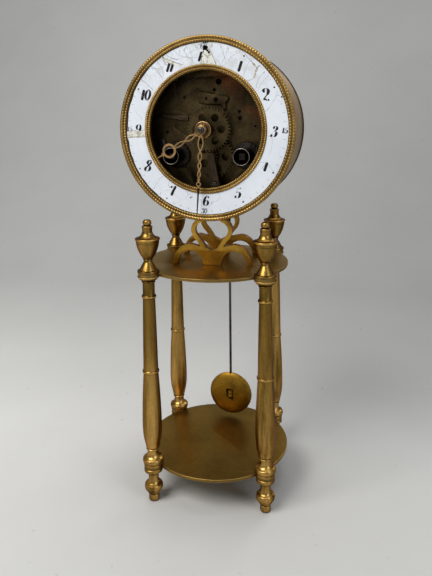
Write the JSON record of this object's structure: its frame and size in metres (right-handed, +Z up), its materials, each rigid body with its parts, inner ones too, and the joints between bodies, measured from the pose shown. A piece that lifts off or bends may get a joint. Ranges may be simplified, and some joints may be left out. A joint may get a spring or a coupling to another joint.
{
  "type": "portico clock",
  "caption": "Round drum clock with an open dial and swinging pendulum, carried on lyre brackets above a brass portico of turned columns.",
  "frame": {"origin": "middle of the four feet, on the surface they stand on", "axes": "+Z up; -Y toward the front, with the dial turned a few degrees toward -X; +X to the right seen from the front"},
  "size_m": [0.1262, 0.1034, 0.3203],
  "materials": {
    "gilt_brass": "turned and lacquered, warm gilt with dark tarnish in the grooves",
    "aged_brass": "dull olive-brown, tarnished",
    "drum_brass": "greyish satin",
    "enamel": "glossy white with hairlines",
    "movement_brass": "satin",
    "steel": "dark, oiled"
  },
  "bodies": {
    "case_body": {"lower_plate": "aged_brass", "upper_plate": "aged_brass", "dial_plate": "aged_brass", "rear_bezel": "aged_brass", "front_plate": "aged_brass", "back_plate": "aged_brass", "column_front_left": "gilt_brass", "column_front_right": "gilt_brass", "column_back_left": "gilt_brass", "column_back_right": "gilt_brass", "finial_front_left": "gilt_brass", "finial_front_right": "gilt_brass", "finial_back_left": "gilt_brass", "finial_back_right": "gilt_brass", "foot_front_left": "gilt_brass", "foot_front_right": "gilt_brass", "foot_back_left": "gilt_brass", "foot_back_right": "gilt_brass", "front_bracket": "gilt_brass", "back_bracket": "gilt_brass", "front_bezel": "gilt_brass", "inner_bezel": "gilt_brass", "drum_case": "drum_brass", "dial_ring": "enamel", "plate_pillars": "movement_brass", "back_cock": "movement_brass", "suspension": "movement_brass", "motion_cock": "movement_brass", "bell": "movement_brass", "screws": "steel", "ratchet_clicks": "steel", "bell_stand": "steel"},
    "minute_hand_body": {"minute_hand": "gilt_brass", "hand_nut": "steel", "cannon_pinion": "steel"},
    "minute_wheel_body": {"minute_wheel": "movement_brass"},
    "hour_hand_body": {"hour_hand": "gilt_brass", "hour_wheel": "movement_brass"},
    "third_body": {"third_wheel": "movement_brass"},
    "escape_body": {"escape_wheel": "movement_brass"},
    "centre_body": {"centre_wheel": "movement_brass"},
    "intermediate_body": {"intermediate_wheel": "movement_brass"},
    "going_barrel_body": {"going_barrel": "movement_brass", "going_mainspring": "steel"},
    "warning_body": {"warning_wheel": "movement_brass"},
    "fly_body": {"fly": "movement_brass"},
    "locking_body": {"locking_wheel": "movement_brass"},
    "pin_body": {"pin_wheel": "movement_brass"},
    "second_body": {"strike_second_wheel": "movement_brass", "count_wheel": "movement_brass"},
    "strike_barrel_body": {"strike_barrel": "movement_brass", "strike_mainspring": "steel"},
    "going_arbor_body": {"going_arbor": "steel"},
    "strike_arbor_body": {"strike_arbor": "steel"},
    "pendulum_body": {"pendulum_rod": "steel", "pendulum_bob": "gilt_brass", "rating_nut": "movement_brass"},
    "anchor_body": {"anchor": "steel", "crutch": "steel"},
    "hammer_body": {"hammer": "steel"}
  },
  "joints": [
    {"name": "minute_hand_turn", "type": "hinge", "parent": "case_body", "child": "minute_hand_body", "pos_m": [0, 0, 0.2585], "axis": [0.1392, 0.9903, 0], "continuous": true},
    {"name": "minute_wheel_turn", "type": "hinge", "parent": "case_body", "child": "minute_wheel_body", "pos_m": [0.00258, -0.00036, 0.23993], "axis": [0.1392, 0.9903, 0], "continuous": true},
    {"name": "hour_hand_turn", "type": "hinge", "parent": "case_body", "child": "hour_hand_body", "pos_m": [0, 0, 0.2585], "axis": [0.1392, 0.9903, 0], "continuous": true},
    {"name": "third_wheel_turn", "type": "hinge", "parent": "case_body", "child": "third_body", "pos_m": [0.00756, -0.00106, 0.27299], "axis": [0.1392, 0.9903, 0], "continuous": true},
    {"name": "escape_wheel_turn", "type": "hinge", "parent": "case_body", "child": "escape_body", "pos_m": [0, 0, 0.2821], "axis": [0.1392, 0.9903, 0], "continuous": true},
    {"name": "centre_wheel_turn", "type": "hinge", "parent": "case_body", "child": "centre_body", "pos_m": [0, 0, 0.2585], "axis": [0.1392, 0.9903, 0], "continuous": true},
    {"name": "intermediate_wheel_turn", "type": "hinge", "parent": "case_body", "child": "intermediate_body", "pos_m": [0.00499, -0.0007, 0.24174], "axis": [0.1392, 0.9903, 0], "continuous": true},
    {"name": "going_barrel_turn", "type": "hinge", "parent": "case_body", "child": "going_barrel_body", "pos_m": [0.02476, -0.00348, 0.2405], "axis": [0.1392, 0.9903, 0], "continuous": true},
    {"name": "warning_wheel_turn", "type": "hinge", "parent": "case_body", "child": "warning_body", "pos_m": [-0.01028, 0.00144, 0.27977], "axis": [0.1392, 0.9903, 0], "continuous": true},
    {"name": "fly_turn", "type": "hinge", "parent": "case_body", "child": "fly_body", "pos_m": [-0.01028, 0.00144, 0.28691], "axis": [0.1392, 0.9903, 0], "continuous": true},
    {"name": "locking_wheel_turn", "type": "hinge", "parent": "case_body", "child": "locking_body", "pos_m": [-0.0187, 0.00263, 0.28127], "axis": [0.1392, 0.9903, 0], "continuous": true},
    {"name": "pin_wheel_turn", "type": "hinge", "parent": "case_body", "child": "pin_body", "pos_m": [-0.02383, 0.00335, 0.2723], "axis": [0.1392, 0.9903, 0], "continuous": true},
    {"name": "second_wheel_turn", "type": "hinge", "parent": "case_body", "child": "second_body", "pos_m": [-0.0282, 0.00396, 0.2602], "axis": [0.1392, 0.9903, 0], "continuous": true},
    {"name": "strike_barrel_turn", "type": "hinge", "parent": "case_body", "child": "strike_barrel_body", "pos_m": [-0.02476, 0.00348, 0.2405], "axis": [0.1392, 0.9903, 0], "continuous": true},
    {"name": "going_winding", "type": "hinge", "parent": "case_body", "child": "going_arbor_body", "pos_m": [0.02476, -0.00348, 0.2405], "axis": [0.1392, 0.9903, 0], "range_deg": [0, 1440]},
    {"name": "strike_winding", "type": "hinge", "parent": "case_body", "child": "strike_arbor_body", "pos_m": [-0.02476, 0.00348, 0.2405], "axis": [0.1392, 0.9903, 0], "range_deg": [0, 1440]},
    {"name": "pendulum_swing", "type": "hinge", "parent": "case_body", "child": "pendulum_body", "pos_m": [0.00487, 0.03466, 0.2945], "axis": [0.1392, 0.9903, 0], "range_deg": [-2, 2]},
    {"name": "anchor_rock", "type": "hinge", "parent": "case_body", "child": "anchor_body", "pos_m": [0, 0, 0.2945], "axis": [0.1392, 0.9903, 0], "range_deg": [-2, 2]},
    {"name": "hammer_strike", "type": "hinge", "parent": "case_body", "child": "hammer_body", "pos_m": [-0.03387, 0.03203, 0.2445], "axis": [0.1392, 0.9903, 0], "range_deg": [-8, 20], "stiffness_Nm_per_rad": 0.02, "springref_deg": -0.8}
  ],
  "couplings": [
    {"joint": "minute_wheel_turn", "follows": "minute_hand_turn", "ratio": -0.33333},
    {"joint": "hour_hand_turn", "follows": "minute_hand_turn", "ratio": 0.083333},
    {"joint": "escape_wheel_turn", "follows": "third_wheel_turn", "ratio": -10},
    {"joint": "centre_wheel_turn", "follows": "third_wheel_turn", "ratio": -0.083333},
    {"joint": "intermediate_wheel_turn", "follows": "third_wheel_turn", "ratio": 0.013889},
    {"joint": "going_barrel_turn", "follows": "third_wheel_turn", "ratio": -0.0015432},
    {"joint": "fly_turn", "follows": "warning_wheel_turn", "ratio": -6},
    {"joint": "locking_wheel_turn", "follows": "warning_wheel_turn", "ratio": -0.14286},
    {"joint": "pin_wheel_turn", "follows": "warning_wheel_turn", "ratio": 0.020408},
    {"joint": "second_wheel_turn", "follows": "warning_wheel_turn", "ratio": -0.0034014},
    {"joint": "strike_barrel_turn", "follows": "warning_wheel_turn", "ratio": 0.00037793},
    {"joint": "anchor_rock", "follows": "pendulum_swing", "ratio": 1}
  ]
}
